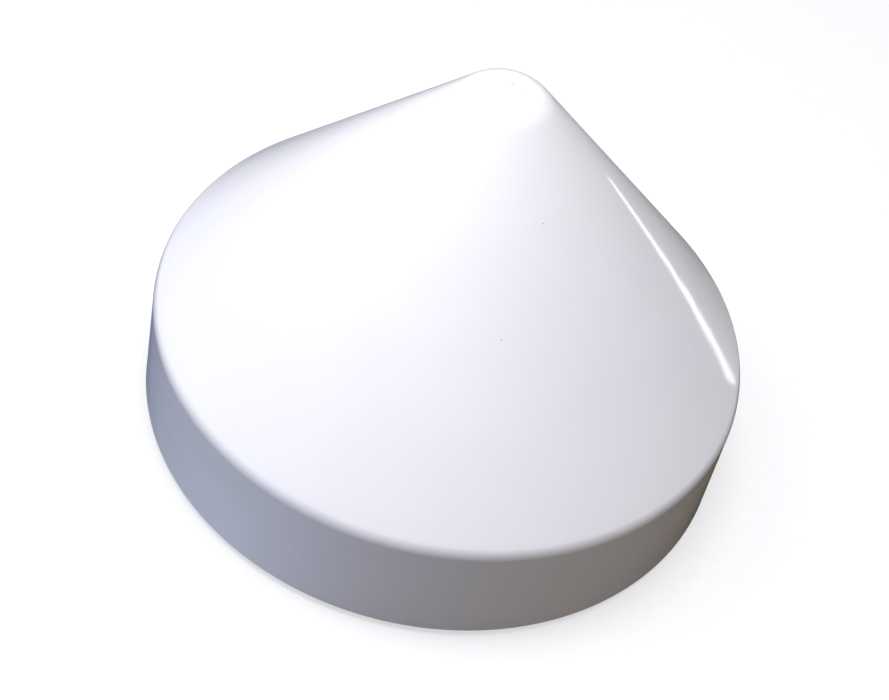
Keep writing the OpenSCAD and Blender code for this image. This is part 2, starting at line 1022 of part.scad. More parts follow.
module array_bracket() {
    half_w = 42;
    back = -26;
    upright_top = array_z + array_h - 6;
    color("silver")
        difference() {
            union() {
                translate([-half_w, back, plate_z])
                    cube([2 * half_w, array_y - back, plate_t]);
                translate([-half_w, array_y - plate_t, plate_z])
                    cube([2 * half_w, plate_t, upright_top - plate_z]);
                for (x = [-half_w, half_w - 2])
                    translate([x, array_y, plate_z])
                        rotate([90, 0, 90])
                            linear_extrude(2)
                                polygon([[0, 0], [-30, 0], [-30, 3], [-2, 40], [0, 40]]);
            }
            rod(spigot_r + 0.05, plate_z - cut, plate_z + 5);
            around(4, hub_screw_circle, 45) rod(2.2, plate_z - cut, plate_z + 5);
            translate([0, 0, coax_z])
                rotate([-90, 0, 0]) rod(5, array_y - 5, array_y + cut);
            array_screw_places() rod(2.1, -8, 8, 32);
            weight_screw_places() rod(2 + slip, plate_z - cut, plate_z + 5, 32);
        }
}

// The four screws that hold the channel, seen from behind the bracket.
module array_screw_places() {
    for (x = [-34, 34], z = [array_z + 9, array_z + array_h - 14])
        translate([x, array_y - plate_t, z])
            rotate([90, 0, 0])
                children();
}

// Screws through the bracket, into the hub, the channel and the counterweight.
module array_screws() {
    color("silver") {
        around(4, hub_screw_circle, 45)
            translate([0, 0, plate_z + plate_t])
                pan_screw(2, 13, 3.6, 2.4);
        array_screw_places() pan_screw(2, plate_t + channel_t, 3.6, 2.4);
        weight_screw_places()
            translate([0, 0, plate_z + plate_t + weight_h])
                pan_screw(2, weight_h + plate_t - 0.2, 3.6, 2.4);
    }
}

module array_channel() {
    color("silver")
        difference() {
            translate([-array_w / 2, array_y, array_z])
                difference() {
                    cube([array_w, channel_depth, array_h]);
                    translate([-cut, channel_t, channel_t])
                        cube([array_w + 2 * cut, channel_depth, array_h - 2 * channel_t]);
                }
            array_screw_places() rod(2.1, -8, 8, 32);
            translate([0, 0, coax_z])
                rotate([-90, 0, 0]) rod(2.6, array_y - cut, array_y + 3, 32);
        }
}

module array_board() {
    color("darkgreen")
        translate([-array_w / 2 + 1, board_front - board_t, array_z + channel_t])
            cube([array_w - 2, board_t, array_h - 2 * channel_t]);
}

// Radiating patches with the printed lines that feed them.
module array_patches() {
    row_gap = 19;
    color("goldenrod")
        for (row = [0 : patch_rows - 1]) {
            z = coax_z + (row - (patch_rows - 1) / 2) * row_gap;
            for (i = [0 : patch_columns - 1])
                translate([(i - (patch_columns - 1) / 2) * patch_pitch, 0, z])
                    translate([-patch_w / 2, board_front, -patch_w / 2])
                        cube([patch_w, patch_t, patch_w]);
            span = (patch_columns - 1) * patch_pitch;
            translate([-span / 2, board_front, z - 0.6])
                cube([span, patch_t, 1.2]);
        }
}

module counterweight() {
    color("dimgray")
        difference() {
            block([60, 9, weight_h], [0, weight_y, plate_z + plate_t]);
            weight_screw_places() rod(2.2, plate_z, plate_z + plate_t + weight_h + cut, 32);
        }
}

module weight_screw_places() {
    for (x = [-20, 20])
        translate([x, weight_y, 0])
            children();
}

// ---------------------------------------------------------------- nodes

radome();
radome_inserts();
base_pan();
mounting_pads();
mounting_inserts();
rim_gasket();
radome_bolts();
bolt_washers();
breather_vent();
inlet_cup();
inlet_connector();
inlet_nut();
inlet_oring();
bearing_housing();
housing_screws();
bearing_outer_rings();
rotary_joint_stator();
coax_jumper();
motor_bracket();
bracket_posts();
motor_end_caps();
motor_stator();
motor_screws();
sensor_post();
sensor_board();
heading_sensor();
transceiver_case();
transceiver_board();
transceiver_lid();
transceiver_screws();
power_board();
board_standoffs();
board_screws();
capacitors();
choke_coil();
heat_sink();
board_chips();
board_connectors();
inlet_lead();
motor_lead();
sensor_lead();
ribbon_cable();
rotor_shaft();
bearing_inner_rings();
shaft_circlip();
drive_gear();
array_bracket();
array_channel();
array_board();
array_patches();
array_screws();
rotary_joint_rotor();
coax_feed();
heading_magnet();
counterweight();
motor_shaft();
motor_core();
motor_pinion();
bearing_balls();
ball_cages();
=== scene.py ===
# %% [markdown]
# # A marine radar antenna under a conical radome
# The mechanical model arrives as a fixed frame: every CAD piece already has its size,
# its place and the body that it turns or lifts with. This lesson adds what a camera
# sees: a smooth moulded shell, real finishes and the small parts inside.

# %% Load the frame
import json
import math
import random

import bpy
from mathutils import Matrix, Quaternion, Vector


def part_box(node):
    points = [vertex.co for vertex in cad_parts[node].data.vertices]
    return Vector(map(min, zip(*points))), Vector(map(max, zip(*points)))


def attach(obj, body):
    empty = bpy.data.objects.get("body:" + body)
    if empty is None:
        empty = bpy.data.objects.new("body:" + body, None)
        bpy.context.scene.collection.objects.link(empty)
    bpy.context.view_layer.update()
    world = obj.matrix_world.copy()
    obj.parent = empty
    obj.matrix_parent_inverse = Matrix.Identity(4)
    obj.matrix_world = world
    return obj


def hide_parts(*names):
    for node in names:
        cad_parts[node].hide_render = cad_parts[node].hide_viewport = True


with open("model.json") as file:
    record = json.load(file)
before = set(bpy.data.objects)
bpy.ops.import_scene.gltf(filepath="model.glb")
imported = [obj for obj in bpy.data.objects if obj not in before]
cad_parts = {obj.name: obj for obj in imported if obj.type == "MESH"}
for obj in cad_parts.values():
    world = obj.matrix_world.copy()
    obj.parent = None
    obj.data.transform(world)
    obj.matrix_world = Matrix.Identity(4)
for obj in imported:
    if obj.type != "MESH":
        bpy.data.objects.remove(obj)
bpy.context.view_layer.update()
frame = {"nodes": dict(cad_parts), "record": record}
nodes = frame["nodes"]
bpy.ops.object.select_all(action="DESELECT")

# %% [markdown]
# ## Colours as they leave the camera
# A white part on a white table is all in the light tones. The Standard view keeps them
# in proportion, where a film-like curve would turn a clean white to grey.

# %% Colour management
scene = bpy.context.scene
scene.view_settings.view_transform = "Standard"
scene.view_settings.look = "None"
scene.view_settings.exposure = 0.0
print("view:", scene.view_settings.view_transform)

# %% [markdown]
# ## Camera
# The camera stands a little over five rim radii away, 45 degrees above the table, and
# is rolled by 14 degrees, so that the cone leans to the right in the frame.

# %% Camera
rim_low, rim_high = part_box("radome")
rim_radius = (rim_high.y - rim_low.y) / 2
view_distance = 5.3 * rim_radius
view_height = 0.35 * rim_radius
view_elevation = math.radians(45.2)
view_tilt = math.radians(-1.2)
view_roll = math.radians(13.96)

back = Vector((0, -math.cos(view_elevation), math.sin(view_elevation)))
looking = -back
looking.rotate(Quaternion((1, 0, 0), view_tilt))
upright = looking.to_track_quat("-Z", "Y")

camera = bpy.data.objects.new("camera", bpy.data.cameras.new("camera"))
scene.collection.objects.link(camera)
camera.data.sensor_width = 36
camera.data.lens = 64
camera.location = Vector((0, 0, rim_low.z + view_height)) + back * view_distance
camera.rotation_mode = "QUATERNION"
camera.rotation_quaternion = upright @ Quaternion((0, 0, 1), view_roll)
scene.camera = camera
print("camera at", [round(c, 3) for c in camera.location])

# %% [markdown]
# ## Finishes as arithmetic
# A finish is a small graph of nodes. Wrapping each socket in a class lets the graph be
# written as ordinary sums: `1 - mask` adds a Math node, and one method, `node`, adds
# any other kind. Everything that varies is measured in Object coordinates, which are
# metres in the part's own frame, so a pattern has a real size and never slides.

# %% A socket that does sums
class Value:
    """One socket of a finish. Sums of values add Math nodes."""

    def __init__(self, finish, socket):
        self.finish = finish
        self.socket = socket

    def sum(self, operation, *terms):
        return self.finish.node("ShaderNodeMath", {"operation": operation}, dict(enumerate(terms)))

    def __add__(self, other):
        return self.sum("ADD", self, other)

    def __radd__(self, other):
        return self.sum("ADD", other, self)

    def __sub__(self, other):
        return self.sum("SUBTRACT", self, other)

    def __rsub__(self, other):
        return self.sum("SUBTRACT", other, self)

    def __mul__(self, other):
        return self.sum("MULTIPLY", self, other)

    def __rmul__(self, other):
        return self.sum("MULTIPLY", other, self)

    def __truediv__(self, other):
        return self.sum("DIVIDE", self, other)

    def __lt__(self, other):
        return self.sum("LESS_THAN", self, other)

    def __gt__(self, other):
        return self.sum("GREATER_THAN", self, other)

    def __abs__(self):
        return self.sum("ABSOLUTE", self)

    def __mod__(self, other):
        return self.sum("FLOORED_MODULO", self, other)

    def clamp(self):
        return self.finish.node("ShaderNodeClamp", {}, {0: self})


class Finish:
    """A material while it is being built: node() adds a node and returns one output."""

    def __init__(self, name):
        self.material = bpy.data.materials.new(name)
        self.material.use_nodes = True
        self.tree = self.material.node_tree
        self.shader = self.tree.nodes["Principled BSDF"]
        self.point = self.node("ShaderNodeTexCoord", out="Object")

    def node(self, kind, settings=None, inputs=None, out=0):
        made = self.tree.nodes.new(kind)
        settings = dict(settings or {})
        stops = settings.pop("stops", None)
        for name, value in settings.items():
            setattr(made, name, value)
        if stops:
            ramp = made.color_ramp
            while len(ramp.elements) < len(stops):
                ramp.elements.new(0.5)
            for element, (place, colour) in zip(ramp.elements, stops):
                element.position = place
                element.color = (*colour, 1)
        for name, value in (inputs or {}).items():
            self.feed(made.inputs[name], value)
        return Value(self, made.outputs[out])

    def feed(self, socket, value):
        if isinstance(value, Value):
            self.tree.links.new(value.socket, socket)
        elif socket.type == "RGBA":
            socket.default_value = (*value, 1)
        else:
            socket.default_value = value

    def set(self, **values):
        """Sets inputs of the main shader: Base_Color=... stands for Base Color."""
        for name, value in values.items():
            self.feed(self.shader.inputs[name.replace("_", " ")], value)
        return self

    def mix(self, factor, first, second):
        inputs = {0: factor, 6: first, 7: second}
        return self.node("ShaderNodeMix", {"data_type": "RGBA"}, inputs, 2)

    def noise(self, size, detail=2.0, stretch=(1, 1, 1)):
        """Noise from 0 to 1 whose grains are about size metres across."""
        place = self.node("ShaderNodeMapping", {}, {"Vector": self.point, "Scale": stretch})
        settings = {"Vector": place, "Scale": 1 / size, "Detail": detail}
        return self.node("ShaderNodeTexNoise", {}, settings)

    def axis(self, name):
        return self.node("ShaderNodeSeparateXYZ", {}, {0: self.point}, name)

    def ramp(self, value, *stops):
        return self.node("ShaderNodeValToRGB", {"stops": stops}, {0: value})

    def bump(self, height, depth):
        """Bump of a real depth in metres, from a height of 0 to 1."""
        inputs = {"Height": height, "Distance": depth, "Strength": 1.0}
        return self.set(Normal=self.node("ShaderNodeBump", {}, inputs, "Normal"))


def spot(finish, place, radius, softness=0.3):
    """Mask that is 1 inside a ball about place and fades to 0 at its edge."""
    inputs = {0: finish.point, 1: place}
    away = finish.node("ShaderNodeVectorMath", {"operation": "DISTANCE"}, inputs, "Value")
    return ((radius - away) / (radius * softness)).clamp()


print("toolkit ready")

# %% [markdown]
# ## The radome's plastic
# Gel-coated or injection-moulded shells are a high gloss white. Up close they are never
# perfect: a faint waviness from the mould, a slow drift in tone, a pinhole or two, and
# a small scuff by the tip where the part was demoulded.

# %% Radome finish
def radome_gloss(tip_height):
    finish = Finish("radome_gloss")
    drift = finish.noise(0.12, 2)
    tone = finish.ramp(drift, (0.3, (0.85, 0.85, 0.868)), (0.7, (0.875, 0.872, 0.88)))
    flaws = [
        ((0.0018, -0.0009, tip_height), 0.0010),
        ((0.0010, -0.0022, tip_height), 0.0008),
        ((0.0085, -0.0075, tip_height - 0.0014), 0.0006),
        ((0.0427, -0.0602, tip_height - 0.0581), 0.0006),
        ((0.0343, -0.1193, tip_height - 0.1121), 0.0006),
    ]
    mask = 0.0
    for place, radius in flaws:
        mask = spot(finish, place, radius) + mask
    mask = mask.clamp()
    colour = finish.mix(mask * 0.75, tone, (0.30, 0.30, 0.33))
    sheen = finish.noise(0.035, 3)
    finish.set(Base_Color=colour, Roughness=0.075 + sheen * 0.05 + mask * 0.3)
    finish.set(IOR=1.5)
    wave = finish.noise(0.045, 1)
    return finish.bump(wave - mask * 0.1, 0.0004)


gloss = radome_gloss(rim_high.z)
print("made", gloss.material.name)

# %% [markdown]
# ## Turning a shell, ring by ring
# The radome is a body of revolution. It could be a spin of one profile, but extruding a
# circle and scaling each new ring keeps the rings even and the poles tidy, and the same
# helper then turns every other round piece. The profile walks down the outside, under
# the rim, up the inside, out round the clamping ledge and on to the inner tip.

# %% Lathe helper
def begin_edit():
    bpy.ops.object.mode_set(mode="EDIT")


def end_edit():
    bpy.ops.object.mode_set(mode="OBJECT")


def pick(piece):
    """Selects one piece alone and makes it the active one."""
    bpy.ops.object.select_all(action="DESELECT")
    piece.select_set(True)
    bpy.context.view_layer.objects.active = piece


def weld():
    """In edit mode: merges points that lie together, then turns all faces outwards."""
    bpy.ops.mesh.select_all(action="SELECT")
    bpy.ops.mesh.remove_doubles(threshold=1e-6)
    bpy.ops.mesh.normals_make_consistent(inside=False)


def lathe(name, profile, segments=192, centre=(0, 0)):
    """Turned solid or ring. profile is (radius, height) points; a radius of 0 closes it."""
    closed = profile[0][0] > 0 and profile[-1][0] > 0
    rings = [p for p in profile if p[0] > 0]
    bpy.ops.object.select_all(action="DESELECT")
    first = rings[0]
    bpy.ops.mesh.primitive_circle_add(
        vertices=segments, radius=first[0], fill_type="NOTHING", location=(*centre, first[1])
    )
    piece = bpy.context.object
    piece.name = name
    bpy.ops.object.transform_apply(location=True, rotation=True, scale=True)
    begin_edit()
    bpy.ops.mesh.select_all(action="SELECT")
    steps = rings[1:] + ([first] if closed else [])
    before = first
    for radius, height in steps:
        extrude_up(height - before[1])
        share = radius / before[0]
        bpy.ops.transform.resize(value=(share, share, 1), center_override=(*centre, height))
        before = (radius, height)
    if profile[-1][0] == 0:
        close_pole(before, profile[-1][1])
    if profile[0][0] == 0:
        bpy.ops.mesh.select_all(action="DESELECT")
        end_edit()
        for vertex in piece.data.vertices[:segments]:
            vertex.select = True
        for edge in piece.data.edges:
            edge.select = all(v < segments for v in edge.vertices)
        begin_edit()
        close_pole(first, profile[0][1])
    weld()
    end_edit()
    return piece


def extrude_up(distance):
    bpy.ops.mesh.extrude_region_move(TRANSFORM_OT_translate={"value": (0, 0, distance)})


def close_pole(ring, height):
    """Closes the selected ring with a fan of faces that meet at one point on the axis."""
    extrude_up(height - ring[1])
    bpy.ops.mesh.merge(type="CENTER")


def smooth(piece, angle=35):
    pick(piece)
    bpy.ops.object.shade_smooth_by_angle(angle=math.radians(angle))
    return piece


def dress(piece, finish):
    """Gives a new piece its finish."""
    piece.data.materials.clear()
    piece.data.materials.append(finish.material)
    return piece


def arc(centre, radius, start, end, steps):
    """Points on an arc in the (radius, height) plane, by the angle above outwards."""
    angles = [math.radians(start + (end - start) * i / steps) for i in range(steps + 1)]
    return [(centre[0] + radius * math.cos(a), centre[1] + radius * math.sin(a)) for a in angles]


print("lathe ready")

# %% Radome shell
skirt_height = 0.085
skirt_draft = math.radians(1.8)
cone_slope = math.radians(47)
shoulder_radius = 0.015
tip_radius = 0.045
wall = 0.0035
ledge_low = 0.031
ledge_high = 0.035
ledge_radius = 0.192

rim_height = rim_low.z
outer_rim = 0.225
corner = (outer_rim - skirt_height * math.tan(skirt_draft), rim_height + skirt_height)
skirt_out = Vector((math.cos(skirt_draft), math.sin(skirt_draft)))
cone_out = Vector((math.sin(cone_slope), math.cos(cone_slope)))
half = (skirt_out + cone_out).normalized()
shoulder = Vector(corner) - half * (shoulder_radius / half.dot(skirt_out))
tip_height = corner[1] + (corner[0] * cone_out.x - tip_radius) / cone_out.y


def shell_outline(depth, steps):
    """From the tip down to the rim, at a depth below the outer face."""
    high = math.degrees(math.atan2(cone_out.y, cone_out.x))
    low = math.degrees(skirt_draft)
    tip = arc((0, tip_height), tip_radius - depth, 90, high, steps)[1:]
    bend = arc(shoulder, shoulder_radius - depth, high, low, steps // 2 + 4)
    cone = [
        tuple(Vector(tip[-1]).lerp(Vector(bend[0]), share))
        for share in [0.02, 0.06, 0.14, 0.26, 0.4, 0.55, 0.7, 0.84, 0.94, 0.985]
    ]
    return [(0, tip_height + tip_radius - depth)] + tip + cone + bend


def inner_skirt(height):
    """Radius of the skirt's inner face at a height above the ground."""
    return outer_rim - wall / math.cos(skirt_draft) - (height - rim_height) * math.tan(skirt_draft)


def radome_profile():
    outside = shell_outline(0, 20)
    round_rim = 0.0008
    round_ledge = 0.0006
    rim = [
        (outer_rim - 2 * round_rim * math.tan(skirt_draft), rim_height + 2 * round_rim),
        (outer_rim, rim_height + round_rim * 0.3),
        (outer_rim - round_rim * 0.6, rim_height),
        (outer_rim - wall + round_rim * 0.6, rim_height),
        (outer_rim - wall, rim_height + round_rim),
    ]
    shelf = [
        (inner_skirt(ledge_low - 0.001), ledge_low - 0.001),
        (inner_skirt(ledge_low) - 0.001, ledge_low),
        (ledge_radius + round_ledge, ledge_low),
        (ledge_radius, ledge_low + round_ledge),
        (ledge_radius, ledge_high - round_ledge),
        (ledge_radius + round_ledge, ledge_high),
        (inner_skirt(ledge_high) - 0.002, ledge_high),
        (inner_skirt(ledge_high + 0.002), ledge_high + 0.002),
    ]
    inside = list(reversed(shell_outline(wall, 12)))
    return outside + rim + shelf + inside


radome = smooth(lathe("radome_shell", radome_profile(), 256), 40)
dress(radome, gloss)
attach(radome, "cover")
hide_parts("radome")
tops = [max(point[2] for point in radome.bound_box), rim_high.z]
print("radome faces", len(radome.data.polygons), "its top and the CAD's", tops)

# %% [markdown]
# ## Bosses inside the shell
# Six hollow posts inside the skirt hold the brass inserts, each tied to the wall by a
# thin web. One is turned and then copied round the axis, each copy with its own mesh.

# %% Copies and boxes
def apply_all(piece):
    """Moves a piece's place, turn and size into its mesh."""
    pick(piece)
    bpy.ops.object.transform_apply(location=True, rotation=True, scale=True)
    return piece


def join(pieces, name):
    pick(pieces[0])
    for piece in pieces:
        piece.select_set(True)
    if len(pieces) > 1:
        bpy.ops.object.join()
    pieces[0].name = name
    return pieces[0]


def turned_copy(piece, name, turn):
    """A copy with a mesh of its own, turned about the spin axis."""
    made = piece.copy()
    made.data = piece.data.copy()
    scene.collection.objects.link(made)
    made.name = name
    made.matrix_world = Matrix.Rotation(turn, 4, "Z")
    return apply_all(made)


def bevel_edges(piece, width, segments, sharper_than=30):
    """Rounds the edges that turn by more than an angle in degrees."""
    bevel = piece.modifiers.new("edges", "BEVEL")
    bevel.width = width
    bevel.segments = segments
    bevel.limit_method = "ANGLE"
    bevel.angle_limit = math.radians(sharper_than)
    bpy.ops.object.modifier_apply(modifier="edges")
    return piece


def bevelled_box(name, low, high, edge, segments=1):
    """Box between two corners whose edges are rounded by a bevel."""
    low, high = Vector(low), Vector(high)
    bpy.ops.object.select_all(action="DESELECT")
    bpy.ops.mesh.primitive_cube_add(size=1, location=(low + high) / 2)
    piece = bpy.context.object
    piece.name = name
    piece.scale = high - low
    return bevel_edges(apply_all(piece), edge, segments)


def finish_piece(piece, finish, body, replaced=()):
    """The last steps that every new piece shares."""
    dress(piece, finish)
    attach(piece, body)
    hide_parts(*replaced)
    return piece


# %% Radome bosses
bolt_circle = 0.208
boss_radius = 0.007
boss_low = 0.029
boss_high = 0.052
hole_radius = 0.0043
hole_top = boss_high - 0.003
edge = 0.0008

boss_profile = [
    (0, boss_high),
    (boss_radius - edge, boss_high),
    (boss_radius, boss_high - edge),
    (boss_radius, boss_low + edge / 2),
    (boss_radius - edge / 2, boss_low),
    (hole_radius, boss_low),
    (hole_radius, hole_top),
    (0, hole_top),
]
boss = lathe("radome_boss_1", boss_profile, 40, (bolt_circle, 0))
half_web = 0.0025
into_wall = 0.0012
web_start = (bolt_circle + boss_radius - 0.002, -half_web, ledge_low)
web_end = (inner_skirt(boss_high) + into_wall, half_web, boss_high - 0.002)
web = bevelled_box("web", web_start, web_end, 0.0005, 2)
boss = smooth(join([boss, web], "radome_boss_1"), 40)
finish_piece(boss, gloss, "cover")
for i in range(1, 6):
    other = turned_copy(boss, f"radome_boss_{i + 1}", math.radians(60 * i))
    finish_piece(other, gloss, "cover")

# %% [markdown]
# ## Metals
# A metal is told apart by its marks more than by its colour. Sheet is brushed one way,
# turned parts carry fine rings, a casting is pebbled and a plated part is smooth with
# a few smudges. Each function below makes one family from a colour.

# %% Metal finishes
def shaded(colour, share):
    return tuple(c * share for c in colour)


def brushed(name, colour, along="X", shine=0.32):
    finish = Finish(name)
    stretch = {"X": (0.04, 1, 1), "Y": (1, 0.04, 1), "Z": (1, 1, 0.04)}[along]
    lines = finish.noise(0.0006, 3, stretch)
    cloud = finish.noise(0.03, 2)
    tone = finish.ramp(lines * 0.7 + cloud * 0.3, (0.3, shaded(colour, 0.82)), (0.7, colour))
    finish.set(Base_Color=tone, Metallic=1.0)
    finish.set(Roughness=shine + lines * 0.16 - cloud * 0.06)
    return finish.bump(lines, 0.000012)


def turned(name, colour, shine=0.25):
    finish = Finish(name)
    rings = finish.noise(0.0004, 2, (0.05, 0.05, 1))
    smudge = finish.noise(0.006, 3)
    tone = finish.ramp(rings * 0.5 + smudge * 0.5, (0.32, shaded(colour, 0.7)), (0.6, colour))
    finish.set(Base_Color=tone, Metallic=1.0)
    finish.set(Roughness=shine + smudge * 0.18)
    return finish.bump(rings, 0.00001)


def cast(name, colour, shine=0.45):
    finish = Finish(name)
    pebble = finish.noise(0.0012, 4)
    cloud = finish.noise(0.02, 2)
    tone = finish.ramp(cloud * 0.6 + pebble * 0.4, (0.3, shaded(colour, 0.8)), (0.7, colour))
    finish.set(Base_Color=tone, Metallic=1.0)
    finish.set(Roughness=shine + pebble * 0.2)
    return finish.bump(pebble, 0.00005)


def plated(name, colour, shine=0.14):
    finish = Finish(name)
    smudge = finish.noise(0.004, 4)
    tone = finish.ramp(smudge, (0.35, shaded(colour, 0.85)), (0.65, colour))
    finish.set(Base_Color=tone, Metallic=1.0)
    finish.set(Roughness=shine + smudge * 0.12)
    return finish.bump(smudge, 0.000006)


def laminated(name):
    """Stack of thin steel sheets, each with a bright sheared edge."""
    finish = Finish(name)
    sheet = abs((finish.axis("Z") / 0.0005) % 1.0 - 0.5) * 2
    grime = finish.noise(0.004, 3)
    gap_black, edge_grey = (0.02, 0.02, 0.022), (0.16, 0.16, 0.17)
    tone = finish.ramp(sheet * 0.8 + grime * 0.2, (0.2, gap_black), (0.75, edge_grey))
    finish.set(Base_Color=tone, Metallic=0.9, Roughness=0.35 + grime * 0.2)
    return finish.bump(sheet, 0.00006)


metals = {
    "stainless": turned("stainless", (0.66, 0.67, 0.69)),
    "bearing_steel": plated("bearing_steel", (0.76, 0.77, 0.79), 0.08),
    "spring_steel": turned("spring_steel", (0.20, 0.20, 0.215), 0.35),
    "zinc_weight": cast("zinc_weight", (0.46, 0.47, 0.50)),
    "nickel_plate": plated("nickel_plate", (0.68, 0.66, 0.62)),
    "brass": turned("brass", (0.80, 0.62, 0.28)),
    "gold_plate": plated("gold_plate", (0.95, 0.70, 0.30)),
    "coax_copper": turned("coax_copper", (0.86, 0.50, 0.32)),
    "printed_copper": plated("printed_copper", (0.90, 0.60, 0.36), 0.22),
    "machined_aluminium": turned("machined_aluminium", (0.78, 0.79, 0.81)),
    "sheet_aluminium": brushed("sheet_aluminium", (0.76, 0.77, 0.79)),
    "shield_casting": cast("shield_casting", (0.66, 0.67, 0.69)),
    "anodised_black": brushed("anodised_black", (0.035, 0.035, 0.04), "Y", 0.38),
    "motor_lamination": laminated("motor_lamination"),
}
print("metals:", len(metals))

# %% [markdown]
# ## Paint, plastics and rubber
# The pan is powder coated, which leaves a fine orange peel. Moulded plastics have a
# spark-eroded grain, and rubber is darker, softer in its highlight and a little dusty.

# %% Paint, plastic and rubber finishes
def powder_coat(name, colour):
    finish = Finish(name)
    peel = finish.noise(0.0014, 2)
    cloud = finish.noise(0.05, 3)
    dust = finish.noise(0.0006, 2)
    tone = finish.ramp(cloud * 0.7 + dust * 0.3, (0.3, shaded(colour, 0.9)), (0.7, colour))
    finish.set(Base_Color=tone, Roughness=0.34 + peel * 0.12)
    return finish.bump(peel, 0.00004)


def moulded(name, colour, shine=0.4, grain=0.0005):
    finish = Finish(name)
    spark = finish.noise(grain, 3)
    cloud = finish.noise(0.015, 2)
    tone = finish.ramp(cloud * 0.6 + spark * 0.4, (0.3, shaded(colour, 0.84)), (0.7, colour))
    finish.set(Base_Color=tone, Roughness=shine + spark * 0.15)
    return finish.bump(spark, 0.00002)


def rubber(name, colour):
    finish = Finish(name)
    grain = finish.noise(0.0008, 4)
    bloom = finish.noise(0.008, 3)
    paler = tuple(c + 0.05 for c in colour)
    tone = finish.ramp(bloom, (0.4, colour), (0.75, paler))
    finish.set(Base_Color=tone, Roughness=0.62 + grain * 0.2)
    return finish.bump(grain, 0.00003)


plastics = {
    "base_casting": powder_coat("base_casting", (0.78, 0.79, 0.80)),
    "black_nylon": moulded("black_nylon", (0.035, 0.035, 0.038)),
    "chip_black": moulded("chip_black", (0.030, 0.030, 0.032), 0.5),
    "cage_nylon": moulded("cage_nylon", (0.75, 0.62, 0.36)),
    "ivory_nylon": moulded("ivory_nylon", (0.82, 0.78, 0.66)),
    "gear_acetal": moulded("gear_acetal", (0.86, 0.85, 0.80), 0.3),
    "seal_rubber": rubber("seal_rubber", (0.018, 0.018, 0.02)),
    "cable_jacket": moulded("cable_jacket", (0.022, 0.022, 0.024), 0.45),
    "ribbon_grey": moulded("ribbon_grey", (0.42, 0.43, 0.45), 0.35),
    "capacitor_sleeve": moulded("capacitor_sleeve", (0.02, 0.035, 0.13), 0.2),
}
print("plastics:", len(plastics))

# %% [markdown]
# ## Circuit boards
# A board is glass laminate under a green lacquer. The copper tracks show through as
# slightly paler raised lines: here they run on a grid of two directions, switched from
# patch to patch by a coarse noise, with tinned pads where both directions meet.

# %% Board finishes
def circuit_board(name):
    finish = Finish(name)
    pitch = 0.0022
    half_track, half_pad = 0.13, 0.2
    across = abs((finish.axis("X") / pitch) % 1.0 - 0.5)
    along = abs((finish.axis("Y") / pitch) % 1.0 - 0.5)
    choice = finish.noise(0.012, 0)
    run_x = (across < half_track) * (choice > 0.53)
    run_y = (along < half_track) * (choice < 0.47)
    tracks = (run_x + run_y).clamp()
    pads = (across < half_pad) * (along < half_pad) * (finish.noise(0.005, 0) > 0.62)
    lacquer = finish.mix(tracks, (0.008, 0.085, 0.035), (0.02, 0.17, 0.07))
    finish.set(Base_Color=finish.mix(pads, lacquer, (0.72, 0.70, 0.66)), Metallic=pads * 0.9)
    finish.set(Roughness=0.28 + pads * 0.12)
    return finish.bump(tracks + pads, 0.00003)


def laminate(name):
    """Pale microwave laminate with a faint glass weave."""
    finish = Finish(name)
    thread = 0.0009
    weave = finish.noise(thread, 1, (1, 1, 0.2)) * 0.5 + finish.noise(thread, 1, (0.2, 1, 1)) * 0.5
    tone = finish.ramp(weave, (0.35, (0.58, 0.55, 0.43)), (0.65, (0.72, 0.69, 0.57)))
    finish.set(Base_Color=tone, Roughness=0.4 + weave * 0.2)
    return finish.bump(weave, 0.00002)


boards = {
    "circuit_board": circuit_board("circuit_board"),
    "microwave_board": laminate("microwave_board"),
}
finishes = {**metals, **plastics, **boards, "radome_shell": gloss}
slot_of = {p["node"]: p["material_slot"] for p in frame["record"]["subparts"]}
for name, node in nodes.items():
    node.data.materials.clear()
    node.data.materials.append(finishes[slot_of[name]].material)
print("dressed CAD nodes:", len(nodes))

# %% [markdown]
# ## No edge is sharp
# A real edge is broken by the mould, the press or a file, and the thin line of light
# that it catches is what makes a machined part look solid. The mechanical parts come
# with perfect edges, so a copy of each one is cleaned of its loose triangles and its
# sharp edges are bevelled by a width that suits how it is made: wide on a casting,
# fine on a stamping or a screw.

# %% Broken edges
edge_widths = {
    0.0008: ["base_pan", "transceiver_case"],
    0.0005: ["inlet_cup", "mounting_pads", "transceiver_lid", "bearing_housing", "counterweight"],
    0.0003: [
        "motor_end_caps", "motor_bracket", "array_bracket", "inlet_nut", "breather_vent",
        "radome_bolts",
    ],
    0.0002: [
        "array_channel", "heat_sink", "bracket_posts", "board_standoffs", "sensor_post",
        "inlet_connector",
    ],
    0.00012: ["drive_gear", "motor_pinion", "housing_screws", "motor_screws", "array_screws"],
    0.0001: ["transceiver_screws", "board_screws", "power_board", "sensor_board", "array_board"],
}
body_of = {n: body for body, names in frame["record"]["behaviour"]["bodies"].items() for n in names}


def break_edges(name, width):
    piece = bpy.data.objects.new(f"{name}_finished", nodes[name].data.copy())
    scene.collection.objects.link(piece)
    pick(piece)
    begin_edit()
    bpy.ops.mesh.select_all(action="SELECT")
    bpy.ops.mesh.remove_doubles(threshold=1e-6)
    bpy.ops.mesh.dissolve_limited(angle_limit=math.radians(1))
    end_edit()
    smooth(bevel_edges(piece, width, 2, 35), 20)
    return finish_piece(piece, finishes[slot_of[name]], body_of[name], [name])


for width, names in edge_widths.items():
    for name in names:
        piece = break_edges(name, width)
        print(name, len(piece.data.polygons), "faces")

# %% [markdown]
# ## Leads
# A lead held between two plugs is modelled along its real route. The motor's and the
# sensor's leads are bundles of thin wires laid round each other, which a tube along a
# slow helix shows, and the ribbon is a row of fine cores side by side.

